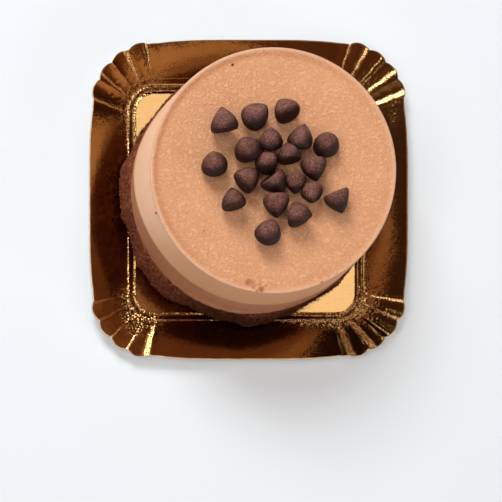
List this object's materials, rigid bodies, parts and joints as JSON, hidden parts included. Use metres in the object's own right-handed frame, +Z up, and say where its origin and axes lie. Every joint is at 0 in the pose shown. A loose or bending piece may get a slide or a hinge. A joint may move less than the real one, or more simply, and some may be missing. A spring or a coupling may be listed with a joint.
{
  "type": "chocolate mousse cake",
  "caption": "Round chocolate mousse cake with a sponge base and two layers of mousse, topped with chocolate drops, on a square gilt card tray with fluted corners.",
  "frame": {"origin": "middle of the flat underside of the tray, at the level of the table", "axes": "+Z up; +Y towards the back of the tray and +X to the right, seen from the front"},
  "size_m": [0.1332, 0.1332, 0.0591],
  "materials": {
    "gilt_card": "gold foil on the upper side, bare white card at the cut edge",
    "sponge": "dark chocolate sponge, rough and crumbly",
    "tan_mousse": "darker chocolate mousse, smooth and matt",
    "pale_mousse": "milk chocolate mousse, matt with a finely pitted top",
    "chocolate": "dark chocolate, satin with a little bloom"
  },
  "bodies": {
    "root": {"tray": "gilt_card", "sponge_base": "sponge", "lower_mousse": "tan_mousse", "upper_mousse": "pale_mousse", "drop_01": "chocolate", "drop_02": "chocolate", "drop_03": "chocolate", "drop_04": "chocolate", "drop_05": "chocolate", "drop_06": "chocolate", "drop_07": "chocolate", "drop_08": "chocolate", "drop_09": "chocolate", "drop_10": "chocolate", "drop_11": "chocolate", "drop_12": "chocolate", "drop_13": "chocolate", "drop_14": "chocolate", "drop_15": "chocolate", "drop_16": "chocolate", "drop_17": "chocolate", "drop_18": "chocolate", "drop_19": "chocolate", "drop_20": "chocolate"}
  },
  "joints": []
}
